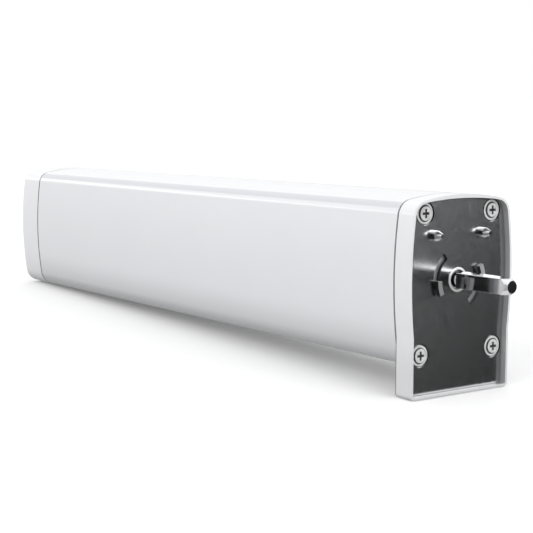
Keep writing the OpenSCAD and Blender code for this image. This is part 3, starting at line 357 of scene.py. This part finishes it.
# Each look's maker and its values, in the order in which the materials are made
LOOKS = {
    "tube_white": (plastic, dict(color=(0.83, 0.84, 0.865), rough=0.3, vary=0.006, coat=0.6,
                                 masks=TUBE_MASKS)),
    "cap_white": (plastic, dict(color=(0.86, 0.865, 0.88), rough=0.3, vary=0.006, coat=0.4,
                                masks=CAP_MASKS)),
    "dark_steel": (metal, dict(color=(0.56, 0.57, 0.58), rough=0.2, grain=700.0, vary=0.01,
                               masks=((painted_wall_shade_mask, PAINTED_WALL_SHADE),))),
    "latch_steel": (metal, dict(color=(0.4, 0.4, 0.41), rough=0.4, grain=700.0, vary=0.02,
                                masks=((painted_side_shade_mask, PAINTED_SIDE_SHADE),), metallic=0.4)),
    # The bush's near-white, mostly non-metallic colour is painted sheen
    "bush_steel": (metal, dict(color=(0.97, 0.97, 0.98), rough=0.25, masks=((painted_bore_shade_mask, PAINTED_BORE_SHADE),),
                               metallic=0.2)),
    "button_grey": (plastic, dict(color=(0.42, 0.43, 0.45), rough=0.35)),
    # The screw heads' near-white, mostly non-metallic colour and its strong mottling are painted sheen and glints
    "plated_steel": (metal, dict(color=(0.99, 0.99, 1.0), rough=0.14, grain=420.0, vary=0.3, depth=0.9 * MM,
                                 masks=((painted_head_shade_mask, PAINTED_HEAD_SHADE),), metallic=0.2)),
    "screw_steel": (metal, dict(color=(0.5, 0.5, 0.51), rough=0.25)),
    "bright_steel": (metal, dict(color=(0.8, 0.8, 0.81), rough=0.08, stretch=(0.2, 1, 1))),
    "shaft_steel": (metal, dict(color=(0.8, 0.8, 0.81), rough=0.08, stretch=(0.2, 1, 1), dull=tip_mask)),
    "gear_steel": (metal, dict(color=(0.4, 0.4, 0.41), rough=0.4)),
    "can_steel": (metal, dict(color=(0.6, 0.6, 0.62), rough=0.28)),
    "bronze": (metal, dict(color=(0.3, 0.28, 0.25), rough=0.35)),
    "brass": (metal, dict(color=(0.78, 0.66, 0.38), rough=0.25)),
    "copper": (metal, dict(color=(0.74, 0.4, 0.22), rough=0.35, stretch=(1, 6, 6))),
    "magnet": (plastic, dict(color=(0.07, 0.07, 0.075), rough=0.6)),
    "gear_plastic": (plastic, dict(color=(0.76, 0.72, 0.6), rough=0.4)),
    "black_plastic": (plastic, dict(color=(0.03, 0.03, 0.033), rough=0.42, vary=0.008)),
    "rubber": (plastic, dict(color=(0.02, 0.02, 0.022), rough=0.75, grain=500.0, vary=0.006)),
    "board": (board_green, dict()),
    "lead_plastic": (plastic, dict(color=(0.5, 0.05, 0.04), rough=0.4)),
    "coil_tape": (plastic, dict(color=(0.72, 0.5, 0.08), rough=0.35)),
    "capacitor": (plastic, dict(color=(0.04, 0.06, 0.16), rough=0.3)),
    "light_plastic": (plastic, dict(color=(0.8, 0.84, 0.82), rough=0.2)),
}


def make_materials():
    return {name: maker(name, **values) for name, (maker, values) in LOOKS.items()}


# Nodes whose look differs from the rest of their slot
OWN_LOOK = {
    "latch_ring": "latch_steel",
    "shaft_bush": "bush_steel",
    "drive_shaft": "shaft_steel",
    "plate_screws": "plated_steel",
    "setting_button": "button_grey",
}


def dress_nodes(materials):
    slot_of = {s["node"]: s["material_slot"] for s in frame["record"]["subparts"]}
    for name, obj in frame["nodes"].items():
        obj.data.materials.clear()
        obj.data.materials.append(materials[OWN_LOOK.get(name, slot_of[name])])


# Width in mm of the rounded edge on the pieces that show; 0 only makes their creases crisp
SOFT_EDGES = {
    "housing_tube": 0,
    "mounting_cap": 0.15,
    "tail_cap": 0,
    "plate_screws": 0.3,
    "locating_pins": 0.08,
    "drive_shaft": 0.25,
    "shaft_bush": 0.15,
}
EDGE_SEGMENTS = 2
EDGE_ANGLE = math.radians(30)
MERGE_DISTANCE = 0.002 * MM
CREASE_ANGLE = math.radians(24)


# Joins the CAD's loose faces and keeps only edges above the crease angle sharp
def crisp_shading_group():
    group = bpy.data.node_groups.new("crisp_shading", "GeometryNodeTree")
    group.interface.new_socket("Geometry", in_out="INPUT", socket_type="NodeSocketGeometry")
    group.interface.new_socket("Geometry", in_out="OUTPUT", socket_type="NodeSocketGeometry")
    nodes, links = group.nodes, group.links
    first = nodes.new("NodeGroupInput")
    last = nodes.new("NodeGroupOutput")
    merge = nodes.new("GeometryNodeMergeByDistance")
    merge.inputs["Distance"].default_value = MERGE_DISTANCE
    angle = nodes.new("GeometryNodeInputMeshEdgeAngle")
    crease = nodes.new("ShaderNodeMath")
    crease.operation = "GREATER_THAN"
    crease.inputs[1].default_value = CREASE_ANGLE
    normals = nodes.new("GeometryNodeSetMeshNormal")
    normals.inputs["Remove Custom"].default_value = True
    links.new(first.outputs[0], merge.inputs["Geometry"])
    links.new(merge.outputs["Geometry"], normals.inputs["Mesh"])
    links.new(angle.outputs["Unsigned Angle"], crease.inputs[0])
    links.new(crease.outputs["Value"], normals.inputs["Edge Sharpness"])
    links.new(normals.outputs["Mesh"], last.inputs[0])
    return group


def soften_edges():
    group = crisp_shading_group()
    for name, width in SOFT_EDGES.items():
        obj = frame["nodes"][name]
        obj.modifiers.new("crisp", "NODES").node_group = group
        if width:
            bevel = obj.modifiers.new("bevel", "BEVEL")
            bevel.width = width * MM
            bevel.segments = EDGE_SEGMENTS
            bevel.limit_method = "ANGLE"
            bevel.angle_limit = EDGE_ANGLE
            bevel.harden_normals = True
        normals = obj.modifiers.new("normals", "WEIGHTED_NORMAL")
        normals.keep_sharp = True


# Stage: the part stands on its skirt and its tail end, so the floor leans a little
FLOOR_FRONT = Vector((-0.0090, 0, -0.0442))
FLOOR_REAR = Vector((-0.3355, 0, -0.0333))
FLOOR_REACH = 8.0
FLOOR_GAP = 0.02 * MM
FLOOR_ROUGHNESS = 0.8
FLOOR_CLOUD_SCALE = 8.0
FLOOR_TINTS = ((0.94, 0.94, 0.94), (0.96, 0.96, 0.96))

# Light levels: the sky straight below and straight above, the floor's color in the light that it throws back, and
# the floor's own glow
SKY_LOW = 0.74
SKY_HIGH = 0.78
FLOOR_BOUNCE = 0.4
FLOOR_GLOW = 0.1

# What polished metal sees, as pairs of height (the sine of the elevation) and brightness: a pale floor and ceiling
# everywhere, and between them a dark room in front, a grey one to the left, a white wall behind and a brightly lit
# one to the right
ROOM_FRONT = (
    (-1.0, 0.9),
    (-0.85, 0.85),
    (-0.68, 0.02),
    (0.0, 0.02),
    (0.5, 0.04),
    (0.62, 1.0),
    (1.0, 1.2),
)
ROOM_LEFT = (
    (-1.0, 0.9),
    (-0.62, 0.5),
    (-0.35, 0.3),
    (-0.1, 0.35),
    (0.1, 0.5),
    (0.35, 0.9),
    (1.0, 1.2),
)
ROOM_BEHIND = (
    (-1.0, 0.9),
    (-0.62, 0.5),
    (-0.03, 0.3),
    (0.05, 0.95),
    (1.0, 1.2),
)
ROOM_RIGHT = (
    (-1.0, 0.9),
    (-0.8, 0.85),
    (-0.62, 0.02),
    (0.0, 0.02),
    (0.06, 0.3),
    (0.11, 3.4),
    (0.45, 3.4),
    (1.0, 1.2),
)
# A ramp holds no more than 1, so it holds the brightness divided by this
ROOM_TOP = 4.0
# Where the room changes along x and along y
ROOM_TURN_X = (0.2, -0.15)
ROOM_TURN_Y = (-0.1, 0.15)
# A window in the dark front: its azimuth and elevation, the cosines of its rim and core, and its brightness
WINDOW_AT = (22, 2)
WINDOW_REACH = (0.915, 0.965)
WINDOW = 0.3

# Sun lamps, which metal doesn't show: azimuth and elevation seen from the object, angle that each fills, strength
SUNS = {
    "side_light": (-80, 25, 50, 1.12),
    "back_light": (125, 25, 50, 0.6),
    "front_light": (10, 15, 40, 0.9),
}
# Softboxes: azimuth, elevation, distance, width, height and strength. SOFTBOX_POWER is a lamp's power for each
# square metre and unit of strength.
SOFTBOXES = {
    "strip": (-142, 15, 1.4, 1.1, 0.14, 1.9),
}
SOFTBOX_POWER = 4.0
LIT_POINT = Vector((-0.1, 0, 0.0))
# A sun's distance changes nothing in the picture
SUN_DISTANCE = 2.0


def toward(azimuth, elevation):
    az, el = math.radians(azimuth), math.radians(elevation)
    return Vector((math.cos(az) * math.cos(el), math.sin(az) * math.cos(el), math.sin(el)))


def aimed(place, aim):
    return Matrix.Translation(place) @ (place - aim).to_track_quat("Z", "Y").to_matrix().to_4x4()


def flat_sheet(name, corners, material):
    mesh = bpy.data.meshes.new(name)
    mesh.from_pydata(corners, [], [tuple(range(len(corners)))])
    mesh.materials.append(material)
    obj = bpy.data.objects.new(name, mesh)
    bpy.context.scene.collection.objects.link(obj)
    return obj


def floor_material():
    m, nodes, links, shader = new_material("floor")
    shader.inputs["Roughness"].default_value = FLOOR_ROUGHNESS
    shader.inputs["Specular IOR Level"].default_value = 0.0
    cloud = noise(nodes, links, object_coords(nodes, links), FLOOR_CLOUD_SCALE)
    links.new(tint(nodes, links, cloud, *FLOOR_TINTS), shader.inputs["Base Color"])
    shader.inputs["Emission Color"].default_value = (1, 1, 1, 1)
    shader.inputs["Emission Strength"].default_value = FLOOR_GLOW
    bounce = nodes.new("ShaderNodeBsdfDiffuse")
    bounce.inputs["Color"].default_value = (FLOOR_BOUNCE, FLOOR_BOUNCE, FLOOR_BOUNCE, 1)
    path = nodes.new("ShaderNodeLightPath")
    mix = nodes.new("ShaderNodeMixShader")
    links.new(path.outputs["Is Diffuse Ray"], mix.inputs["Fac"])
    links.new(shader.outputs["BSDF"], mix.inputs[1])
    links.new(bounce.outputs["BSDF"], mix.inputs[2])
    links.new(mix.outputs["Shader"], nodes["Material Output"].inputs["Surface"])
    return m


def make_stage():
    slope = (FLOOR_REAR.z - FLOOR_FRONT.z) / (FLOOR_REAR.x - FLOOR_FRONT.x)
    corners = []
    for sx, sy in ((-1, -1), (1, -1), (1, 1), (-1, 1)):
        x, y = sx * FLOOR_REACH, sy * FLOOR_REACH
        corners.append((x, y, FLOOR_FRONT.z + slope * (x - FLOOR_FRONT.x) - FLOOR_GAP))
    floor = flat_sheet("floor", corners, floor_material())
    floor.visible_glossy = False


# half_height is 0 straight below and 1 straight above
def room_brightness(nodes, links, half_height, room):
    ramp = nodes.new("ShaderNodeValToRGB")
    stops = ramp.color_ramp.elements
    while len(stops) < len(room):
        stops.new(0.5)
    for stop, (z, level) in zip(stops, room):
        stop.position = (z + 1) / 2
        stop.color = (*([level / ROOM_TOP] * 3), 1)
    links.new(half_height, ramp.inputs["Fac"])
    bright = nodes.new("ShaderNodeMath")
    bright.operation = "MULTIPLY"
    bright.inputs[1].default_value = ROOM_TOP
    links.new(ramp.outputs["Color"], bright.inputs[0])
    return bright.outputs["Value"]


# off where fac is 0, on where it is 1
def switch(nodes, links, fac, off, on):
    level = nodes.new("ShaderNodeMix")
    links.new(fac, level.inputs["Factor"])
    links.new(off, level.inputs["A"])
    if isinstance(on, float):
        level.inputs["B"].default_value = on
    else:
        links.new(on, level.inputs["B"])
    return level.outputs["Result"]


def make_world():
    world = bpy.data.worlds.new("studio")
    bpy.context.scene.world = world
    world.use_nodes = True
    nodes, links = world.node_tree.nodes, world.node_tree.links
    coord = nodes.new("ShaderNodeTexCoord")
    split = nodes.new("ShaderNodeSeparateXYZ")
    links.new(coord.outputs["Generated"], split.inputs["Vector"])
    height = split.outputs["Z"]
    sky = span(nodes, links, height, SKY_LOW, SKY_HIGH)
    half = nodes.new("ShaderNodeMapRange")
    half.inputs["From Min"].default_value = -1.0
    links.new(height, half.inputs["Value"])
    front, left, behind, right = (
        room_brightness(nodes, links, half.outputs["Result"], room)
        for room in (ROOM_FRONT, ROOM_LEFT, ROOM_BEHIND, ROOM_RIGHT)
    )
    turn = fade(nodes, links, split.outputs["X"], *ROOM_TURN_X)
    near = switch(nodes, links, turn, front, left)
    far = switch(nodes, links, turn, right, behind)
    room = switch(nodes, links, fade(nodes, links, split.outputs["Y"], *ROOM_TURN_Y), near, far)
    across = nodes.new("ShaderNodeVectorMath")
    across.operation = "DOT_PRODUCT"
    links.new(coord.outputs["Generated"], across.inputs[0])
    across.inputs[1].default_value = toward(*WINDOW_AT)
    window = fade(nodes, links, across.outputs["Value"], *WINDOW_REACH)
    room = calculate(nodes, links, "ADD", room, calculate(nodes, links, "MULTIPLY", window, WINDOW))
    path = nodes.new("ShaderNodeLightPath")
    level = switch(nodes, links, path.outputs["Is Glossy Ray"], sky, room)
    level = switch(nodes, links, path.outputs["Is Camera Ray"], level, 1.0)
    links.new(level, nodes["Background"].inputs["Strength"])
    nodes["Background"].inputs["Color"].default_value = (1, 1, 1, 1)


def add_lamp(name, lamp, away, distance):
    obj = bpy.data.objects.new(name, lamp)
    bpy.context.scene.collection.objects.link(obj)
    obj.matrix_world = aimed(LIT_POINT + away * distance, LIT_POINT)
    return obj


def sun(name, azimuth, elevation, angle, strength):
    lamp = bpy.data.lights.new(name, "SUN")
    lamp.angle = math.radians(angle)
    lamp.energy = strength
    add_lamp(name, lamp, toward(azimuth, elevation), SUN_DISTANCE).visible_glossy = False


def softbox(name, azimuth, elevation, distance, width, height, strength):
    lamp = bpy.data.lights.new(name, "AREA")
    lamp.shape = "RECTANGLE"
    lamp.size = width
    lamp.size_y = height
    lamp.energy = strength * SOFTBOX_POWER * width * height
    add_lamp(name, lamp, toward(azimuth, elevation), distance)


def make_light():
    make_world()
    for name, values in SUNS.items():
        sun(name, *values)
    for name, values in SOFTBOXES.items():
        softbox(name, *values)


make_camera()
MATERIALS = make_materials()
dress_nodes(MATERIALS)
soften_edges()
make_stage()
make_light()
bpy.context.scene.view_settings.view_transform = "Standard"
